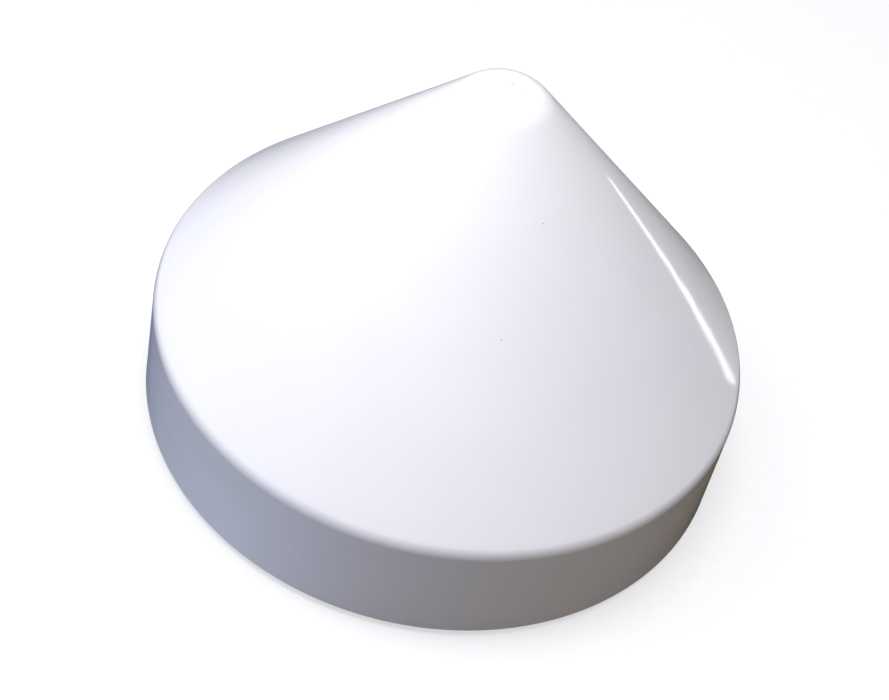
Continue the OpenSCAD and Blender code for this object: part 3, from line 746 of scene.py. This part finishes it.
# %% Routes and tubes
def curve_points(points, steps):
    """Catmull-Rom curve through the points, as the mechanical model draws it."""
    p = [Vector(q) for q in points]
    found = []
    for i in range(len(p) - 1):
        a, b, c, d = p[max(i - 1, 0)], p[i], p[i + 1], p[min(i + 2, len(p) - 1)]
        for k in range(steps):
            t = k / steps
            even = 2 * b + (c - a) * t + (2 * a - 5 * b + 4 * c - d) * t * t
            found.append(0.5 * (even + (3 * b - a - 3 * c + d) * t ** 3))
    return found + [p[-1]]


def tube(name, path, radius, sides=3):
    """Round tube with closed ends along a path, as a mesh."""
    line = bpy.data.curves.new(name, "CURVE")
    line.dimensions = "3D"
    line.bevel_depth = radius
    line.bevel_resolution = sides
    line.use_fill_caps = True
    spline = line.splines.new("POLY")
    spline.points.add(len(path) - 1)
    for point, place in zip(spline.points, path):
        point.co = (*place, 1)
    made = bpy.data.objects.new(name, line)
    scene.collection.objects.link(made)
    pick(made)
    bpy.ops.object.convert(target="MESH")
    made = bpy.context.object
    begin_edit()
    weld()
    end_edit()
    return smooth(made, 50)


def frames_along(path):
    """A side and an upward direction for each point, carried along without twist."""
    side = None
    found = []
    for i, place in enumerate(path):
        ahead = path[min(i + 1, len(path) - 1)] - path[max(i - 1, 0)]
        ahead.normalize()
        if side is None:
            side = ahead.orthogonal()
        side = (side - ahead * side.dot(ahead)).normalized()
        found.append((place, side, ahead.cross(side)))
    return found


def bundle(name, points, radius, wire_radius, turns, colours):
    """Wires laid round each other inside a lead's radius, one for each colour."""
    rows = frames_along(curve_points(points, 14))
    reach = radius - wire_radius
    made = []
    for w, colour in enumerate(colours):
        path = []
        for i, (place, side, over) in enumerate(rows):
            angle = 2 * math.pi * (w / len(colours) + turns * i / (len(rows) - 1))
            path.append(place + reach * (math.cos(angle) * side + math.sin(angle) * over))
        wire = tube(f"{name}_wire_{w + 1}", path, wire_radius, 2)
        made.append(finish_piece(wire, colour, "base"))
    return made


wire_red = moulded("wire_red", (0.42, 0.02, 0.02), 0.3)
wire_blue = moulded("wire_blue", (0.02, 0.06, 0.35), 0.3)
wire_green = moulded("wire_green", (0.02, 0.22, 0.06), 0.3)
wire_black = moulded("wire_black", (0.02, 0.02, 0.022), 0.3)
wire_yellow = moulded("wire_yellow", (0.70, 0.48, 0.03), 0.3)

# %% Leads
MM = 0.001
board_low, board_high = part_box("power_board")
board_top = board_high.z
inlet_route = [
    (0, -112, 44), (0, -112, 50), (8, -108, 57), (24, -98, 59),
    (44, -82, 54), (60, -66, 50), (70, -54, 45), (72, -51, 40), (72, -51, 34.6),
]
motor_route = [
    (21.15, 63, 22), (30, 63, 22), (40, 60, 24), (46, 50, 34),
    (51, 35, 42), (56, 25, 43), (58, 22, 39), (58, 22, 33.6),
]
sensor_route = [
    (4, -59, 54), (4.5, -62, 53.5), (9, -65, 50), (22, -60, 43),
    (38, -42, 38), (50, -20, 39), (56, -9, 41), (58, -6, 38), (58, -6, 33.6),
]


def in_metres(route):
    return [Vector(p) * MM for p in route]


inlet = tube("inlet_lead_jacket", curve_points(in_metres(inlet_route), 12), 3.2 * MM, 6)
finish_piece(inlet, plastics["cable_jacket"], "base", ["inlet_lead"])
phase_colours = [wire_black, wire_green, wire_red, wire_blue]
motor_points = in_metres(motor_route)
motor_wires = bundle("motor_lead", motor_points, 2 * MM, 0.82 * MM, 3, phase_colours)
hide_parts("motor_lead")
signal_colours = [wire_red, wire_black, wire_yellow]
sensor_points = in_metres(sensor_route)
sensor_wires = bundle("sensor_lead", sensor_points, 1.2 * MM, 0.55 * MM, 4, signal_colours)
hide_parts("sensor_lead")
print("leads: 1 jacket,", len(motor_wires) + len(sensor_wires), "wires")

# %% Ribbon cable
ribbon_low, ribbon_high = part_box("ribbon_cable")
ribbon_route = [
    (58, 33.6), (56, 41), (46, 46), (20, 42), (0, 40), (-20, 40), (-36, 39.5), (-46, 38.5),
]
cores = 11
core_pitch = (ribbon_high.y - ribbon_low.y) / cores
lift = 0.45 * MM
for i in range(cores):
    y = ribbon_low.y + (i + 0.5) * core_pitch
    route = [Vector((x * MM, y, z * MM + lift)) for x, z in ribbon_route]
    core = tube(f"ribbon_core_{i + 1}", curve_points(route, 8), core_pitch * 0.5, 1)
    finish_piece(core, wire_red if i == 0 else plastics["ribbon_grey"], "base")
    if i == 0:
        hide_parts("ribbon_cable")
print("ribbon cores:", cores)

# %% [markdown]
# ## Parts on the power board
# The choke is a ferrite ring under one layer of enamelled wire. Each capacitor is an
# aluminium can in a shrunk sleeve, with a pressed groove near its foot, a rolled rim
# and a scored top. Chips and connectors get legs, pins and rounded edges.

# %% Choke coil
choke_low, choke_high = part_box("choke_coil")
choke_centre = (choke_low + choke_high) / 2
core_tube = (choke_high.z - choke_low.z) / 2
core_ring = (choke_high.x - choke_low.x) / 2 - core_tube
wire_radius = 0.55 * MM
ferrite_tube = core_tube - 2 * wire_radius

bpy.ops.object.select_all(action="DESELECT")
bpy.ops.mesh.primitive_torus_add(
    major_radius=core_ring, minor_radius=ferrite_tube,
    major_segments=64, minor_segments=24, location=choke_centre,
)
ferrite = smooth(apply_all(bpy.context.object), 60)
ferrite.name = "choke_ferrite"
ferrite_green = moulded("ferrite_green", (0.05, 0.16, 0.10), 0.5)
finish_piece(ferrite, ferrite_green, "base", ["choke_coil"])

turns = 26
steps_per_turn = 14
covered = 0.92
first_angle = 0.25
steps = turns * steps_per_turn
winding = []
for i in range(steps + 1):
    round_ring = 2 * math.pi * covered * i / steps + first_angle
    round_tube = 2 * math.pi * i / steps_per_turn
    reach = core_ring + (core_tube - wire_radius) * math.cos(round_tube)
    rise = (core_tube - wire_radius) * math.sin(round_tube)
    offset = (reach * math.cos(round_ring), reach * math.sin(round_ring), rise)
    winding.append(choke_centre + Vector(offset))
coil = tube("choke_winding", winding, wire_radius, 2)
finish_piece(coil, metals["coax_copper"], "base")
print("choke turns:", turns)

# %% Capacitors
def can_profile(radius, foot, top):
    """Sleeve of a can from its top rim, down past the pressed groove, to its foot."""
    groove = foot + 0.12 * (top - foot)
    return [
        (radius * 0.80, top - 0.3 * MM),
        (radius * 0.86, top),
        (radius * 0.95, top - 0.1 * MM),
        (radius, top - 0.7 * MM),
        (radius, groove + 1.2 * MM),
        (radius * 0.93, groove + 0.4 * MM),
        (radius * 0.93, groove - 0.4 * MM),
        (radius, groove - 1.2 * MM),
        (radius, foot + 0.4 * MM),
        (radius * 0.95, foot),
        (0, foot),
    ]


can_metal = plated("can_top_aluminium", (0.72, 0.73, 0.75), 0.2)


def scored_top(name, place, radius, top):
    """Metal disc with the cross that lets a failing can vent."""
    face = top - 0.12 * MM
    under = top - 0.35 * MM
    profile = [(0, face), (radius * 0.9, face), (radius, under), (0, under)]
    parts = [lathe(name, profile, 48, place)]
    for turn in (45, 135):
        bpy.ops.object.select_all(action="DESELECT")
        bpy.ops.mesh.primitive_cube_add(
            size=1, location=(*place, top - 0.1 * MM), rotation=(0, 0, math.radians(turn))
        )
        bar = bpy.context.object
        bar.scale = (radius * 1.5, 0.35 * MM, 0.12 * MM)
        parts.append(apply_all(bar))
    return join(parts, name)


# X and Y of each can's axis, its radius and its height, in millimetres
cans = [
    (138, -34, 8, 25), (138, -12, 8, 25), (138, 10, 8, 25),
    (116, -36, 5, 16), (116, -20, 5, 16),
]
for i, (x, y, r, h) in enumerate(cans):
    place = (x * MM, y * MM)
    top = board_top + h * MM
    profile = [(0, top - 0.3 * MM)] + can_profile(r * MM, board_top, top)
    sleeve = smooth(lathe(f"capacitor_{i + 1}", profile, 48, place), 50)
    finish_piece(sleeve, plastics["capacitor_sleeve"], "base", ["capacitors"])
    disc = scored_top(f"capacitor_top_{i + 1}", place, r * MM * 0.79, top)
    finish_piece(disc, can_metal, "base")
print("capacitors:", len(cans))

# %% Chips with legs
def chip(name, centre, size, legs, foot):
    """Moulded package with bent legs down two sides, standing on foot."""
    half = Vector((size[0] / 2, size[1] / 2, 0))
    low = Vector((*centre, foot + 0.15 * MM)) - half
    high = Vector((*centre, foot + size[2])) + half
    body = bevelled_box(name, low, high, 0.25 * MM)
    finish_piece(body, plastics["chip_black"], "base", ["board_chips"])
    parts = []
    gap = size[1] / (legs + 1)
    reach, half_width = 0.9 * MM, 0.2 * MM
    for side in (-1, 1):
        for k in range(legs):
            y = centre[1] - size[1] / 2 + gap * (k + 1)
            inner = centre[0] + side * size[0] / 2
            left, right = sorted([inner, inner + side * reach])
            start = (left, y - half_width, foot + 0.1 * MM)
            stop = (right, y + half_width, foot + 0.25 * MM)
            parts.append(bevelled_box("leg", start, stop, 0.04 * MM))
    finish_piece(join(parts, f"{name}_legs"), metals["nickel_plate"], "base")


# Centre, size in millimetres, and legs down each side
packages = [
    ((82, 2), (16, 16, 1.8), 12),
    ((106, 6), (10, 8, 1.6), 6),
    ((70, 34), (8, 6, 1.6), 4),
    ((72, -14), (12, 5, 2), 3),
    ((112, -4), (6, 6, 3), 3),
]
for i, (centre, size, legs) in enumerate(packages):
    chip(f"chip_{i + 1}", [c * MM for c in centre], [d * MM for d in size], legs, board_top)
print("chips:", len(packages))

# %% Board connectors
def header(name, centre, size, pins):
    """Shrouded connector: a box whose top is inset and sunk, with a row of pins inside."""
    low = Vector((centre[0] - size[0] / 2, centre[1] - size[1] / 2, board_top))
    high = Vector((centre[0] + size[0] / 2, centre[1] + size[1] / 2, board_top + size[2]))
    shroud = bevelled_box(name, low, high, 0.3 * MM, 2)
    top = max(shroud.data.polygons, key=lambda f: f.area * (f.normal.z > 0.99))
    for face in shroud.data.polygons:
        face.select = face.index == top.index
    begin_edit()
    bpy.ops.mesh.inset(thickness=0.9 * MM)
    extrude_up(-2 * MM)
    end_edit()
    finish_piece(shroud, plastics["ivory_nylon"], "base", ["board_connectors"])
    row_ends = 3 * MM
    half_pin = 0.3 * MM
    along_y = size[1] > size[0]
    pitch = (max(size[0], size[1]) - row_ends) / (pins - 1)
    parts = []
    for k in range(pins):
        shift = (k - (pins - 1) / 2) * pitch
        x = centre[0] + (0 if along_y else shift)
        y = centre[1] + (shift if along_y else 0)
        start = (x - half_pin, y - half_pin, high.z - 3 * MM)
        stop = (x + half_pin, y + half_pin, high.z - 0.2 * MM)
        parts.append(bevelled_box("pin", start, stop, 0.08 * MM))
    finish_piece(join(parts, f"{name}_pins"), metals["gold_plate"], "base")


# Centre, size in millimetres, and pins: for the ribbon, the motor, the sensor and the inlet
headers = [
    ((58, -31.5), (9, 18, 8), 8),
    ((58, 22), (9, 14, 8), 5),
    ((58, -6), (9, 8, 8), 3),
    ((72, -51), (20, 9, 9), 5),
]
for i, (centre, size, pins) in enumerate(headers):
    header(f"board_plug_{i + 1}", [c * MM for c in centre], [d * MM for d in size], pins)
print("connectors:", len(headers))

# %% [markdown]
# ## Surface-mount parts
# A bare green board looks unfinished. Rows of chip resistors and ceramic capacitors a
# few millimetres long give it scale. They are placed by a seeded draw that keeps clear
# of everything already standing on the board.

# %% Surface-mount parts
ceramic = moulded("ceramic_buff", (0.42, 0.30, 0.18), 0.35)
resistor_black = moulded("resistor_black", (0.03, 0.03, 0.035), 0.3)
draw = random.Random(7)
placed_ends = 90
edge_x, edge_y = 4 * MM, 6 * MM
spacing = 2.8 * MM
own_reach = 1.6 * MM
half_length, half_width, height = 1.2 * MM, 0.7 * MM, 0.8 * MM
half_cap, cap_stands_out = 0.4 * MM, 0.02 * MM
cap_height = 0.86 * MM

# A circle round each thing that already stands on the board: its X, Y and radius
taken = [(c[0] * MM, c[1] * MM, max(s[0], s[1]) * MM * 0.72) for c, s, _ in packages + headers]
taken += [(x * MM, y * MM, r * MM) for x, y, r, _ in cans]
taken += [(choke_centre.x, choke_centre.y, core_ring + core_tube)]
sink_low, sink_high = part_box("heat_sink")
sink_x, sink_y, _ = (sink_low + sink_high) / 2
taken += [(sink_x + side * 13 * MM, sink_y, 16 * MM) for side in (-1, 1)]


def flat(long, short, along_x):
    """A level vector with its long side along X or along Y."""
    return Vector((long, short, 0)) if along_x else Vector((short, long, 0))


bodies_made, ends_made = {"buff": [], "black": []}, []
while len(ends_made) < placed_ends:
    x = draw.uniform(board_low.x + edge_x, board_high.x - edge_x)
    y = draw.uniform(board_low.y + edge_y, board_high.y - edge_y)
    if any(math.hypot(x - a, y - b) < r + spacing for a, b, r in taken):
        continue
    taken.append((x, y, own_reach))
    along_x = draw.random() < 0.5
    kind = "buff" if draw.random() < 0.5 else "black"
    centre = Vector((x, y, board_top))
    cap = flat(half_cap, 0, along_x)
    middle = flat(half_length, half_width, along_x) - cap
    top = centre + middle + Vector((0, 0, height))
    bodies_made[kind].append(bevelled_box("smd", centre - middle, top, 0.08 * MM))
    for sign in (-1, 1):
        tip = centre + sign * middle
        block = flat(half_cap, half_width + cap_stands_out, along_x)
        top = tip + block + Vector((0, 0, cap_height))
        ends_made.append(bevelled_box("smd_end", tip - block, top, 0.08 * MM))
finish_piece(join(bodies_made["buff"], "ceramic_capacitors"), ceramic, "base")
finish_piece(join(bodies_made["black"], "chip_resistors"), resistor_black, "base")
finish_piece(join(ends_made, "solder_ends"), metals["nickel_plate"], "base")
print("surface-mount parts:", len(ends_made) // 2)

# %% [markdown]
# ## Table, flag and lights
# The table and the round backdrop that the camera sees are pale and plain, and glow a
# little, so that they stay pale far from the lamps. A glossy white part also mirrors
# its table, so studios lay tinted card, a flag, round such a part, out of the camera's
# sight: here a second plane that only reflections and bounced light can see, blue at
# the left and olive at the right. The light itself is a big soft panel overhead, a
# softer one at the left, and one thin strip low behind the part, which draws the long
# highlight down the cone's far flank.

# %% Table
def plane(name, height):
    bpy.ops.object.select_all(action="DESELECT")
    bpy.ops.mesh.primitive_plane_add(size=14, location=(0, 0, height))
    made = apply_all(bpy.context.object)
    made.name = name
    return made


def camera_only(piece):
    """The camera sees the piece, but it neither mirrors, bounces nor shades."""
    piece.visible_glossy = False
    piece.visible_diffuse = False
    piece.visible_shadow = False


table = plane("table", 0)
table_finish = Finish("table_paper")
grain = table_finish.noise(0.01, 3)
paper = table_finish.ramp(grain, (0.3, (0.35, 0.35, 0.352)), (0.7, (0.37, 0.37, 0.372)))
table_finish.set(Base_Color=paper, Roughness=0.9)
table_finish.set(Emission_Color=(0.61, 0.61, 0.615), Emission_Strength=1.0)
table.data.materials.append(table_finish.material)
camera_only(table)

flag = plane("grey_flag", -0.002)
flag_finish = Finish("grey_flag_card")
card_width = 0.6
across = (flag_finish.axis("X") / card_width + 0.5).clamp()
card = flag_finish.ramp(
    across,
    (0.05, (0.0, 0.01, 0.07)),
    (0.28, (0.24, 0.29, 0.38)),
    (0.50, (0.15, 0.135, 0.12)),
    (0.75, (0.14, 0.10, 0.01)),
    (0.95, (0.08, 0.05, 0.0)),
)
fade_from, fade_over = 0.12, 0.3
behind = ((flag_finish.axis("Y") - fade_from) / fade_over).clamp()
flag_finish.set(Base_Color=flag_finish.mix(behind, card, (0.20, 0.185, 0.19)), Roughness=0.9)
flag.data.materials.append(flag_finish.material)
flag.visible_camera = False
flag.visible_shadow = False
print("table and flag laid")

# %% Backdrop
bpy.ops.object.select_all(action="DESELECT")
bpy.ops.mesh.primitive_cylinder_add(
    vertices=96, radius=6.5, depth=8, end_fill_type="NOTHING", location=(0, 0, 3.9)
)
backdrop = smooth(apply_all(bpy.context.object))
backdrop.name = "backdrop"
wall_finish = Finish("backdrop_paper")
wall_finish.set(Base_Color=(0.1, 0.1, 0.1), Roughness=1.0)
wall_finish.set(Emission_Color=(0.76, 0.77, 0.79), Emission_Strength=1.0)
backdrop.data.materials.append(wall_finish.material)
camera_only(backdrop)
print("backdrop hung")

# %% Lights
def panel(name, place, target, size, power, colour):
    lamp = bpy.data.lights.new(name, "AREA")
    lamp.shape = "RECTANGLE"
    lamp.size, lamp.size_y = size
    lamp.energy = power
    lamp.color = colour
    holder = bpy.data.objects.new(name, lamp)
    scene.collection.objects.link(holder)
    holder.location = place
    aim = Vector(target) - Vector(place)
    holder.rotation_mode = "QUATERNION"
    holder.rotation_quaternion = aim.to_track_quat("-Z", "Y")
    holder.visible_camera = False
    return holder


panel("overhead", (-0.04, -0.1, 1.7), (0, 0, 0.1), (0.9, 0.9), 22.5, (0.98, 0.97, 0.985))
panel("left_window", (-1.2, -0.1, 1.5), (0, 0, 0.12), (1.2, 0.9), 16.0, (0.94, 0.97, 1.0))
strip_size = (0.045, 0.53)
strip = panel("low_strip", (0.56, 0.575, 0.006), (0, 0, 0.2), strip_size, 0.28, (1.0, 0.98, 0.96))
strip_tilt = math.radians(35)
strip.rotation_quaternion = Quaternion((0, 1, 0), math.pi - strip_tilt)

# %% [markdown]
# ## Sky
# The world stands for the walls of the room. A glossy white skirt mirrors its low
# part, so that is darker, and goes from blue at the left to a warm black at the right.
# Above it is an even pale grey.

# %% World
horizon_left = (0.15, 0.22, 0.44, 1)
horizon_right = (0.06, 0.02, 0.0, 1)
upper_grey = (0.33, 0.33, 0.39, 1)
horizon_top = 0.4

world = bpy.data.worlds.new("studio")
scene.world = world
world.use_nodes = True
sky = world.node_tree
direction = sky.nodes.new("ShaderNodeTexCoord")
split = sky.nodes.new("ShaderNodeSeparateXYZ")
sides = sky.nodes.new("ShaderNodeMapRange")
sides.inputs["From Min"].default_value = -1
shade = sky.nodes.new("ShaderNodeValToRGB")
shade.color_ramp.elements[0].color = horizon_left
shade.color_ramp.elements[1].color = horizon_right
climb = sky.nodes.new("ShaderNodeMapRange")
climb.inputs["From Max"].default_value = horizon_top
blend = sky.nodes.new("ShaderNodeMix")
blend.data_type = "RGBA"
blend.inputs[7].default_value = upper_grey
for source, socket in [
    (direction.outputs["Generated"], split.inputs[0]),
    (split.outputs["X"], sides.inputs["Value"]),
    (sides.outputs[0], shade.inputs[0]),
    (split.outputs["Z"], climb.inputs["Value"]),
    (climb.outputs[0], blend.inputs[0]),
    (shade.outputs[0], blend.inputs[6]),
    (blend.outputs[2], sky.nodes["Background"].inputs["Color"]),
]:
    sky.links.new(source, socket)
sky.nodes["Background"].inputs["Strength"].default_value = 1.0
print("world ready")
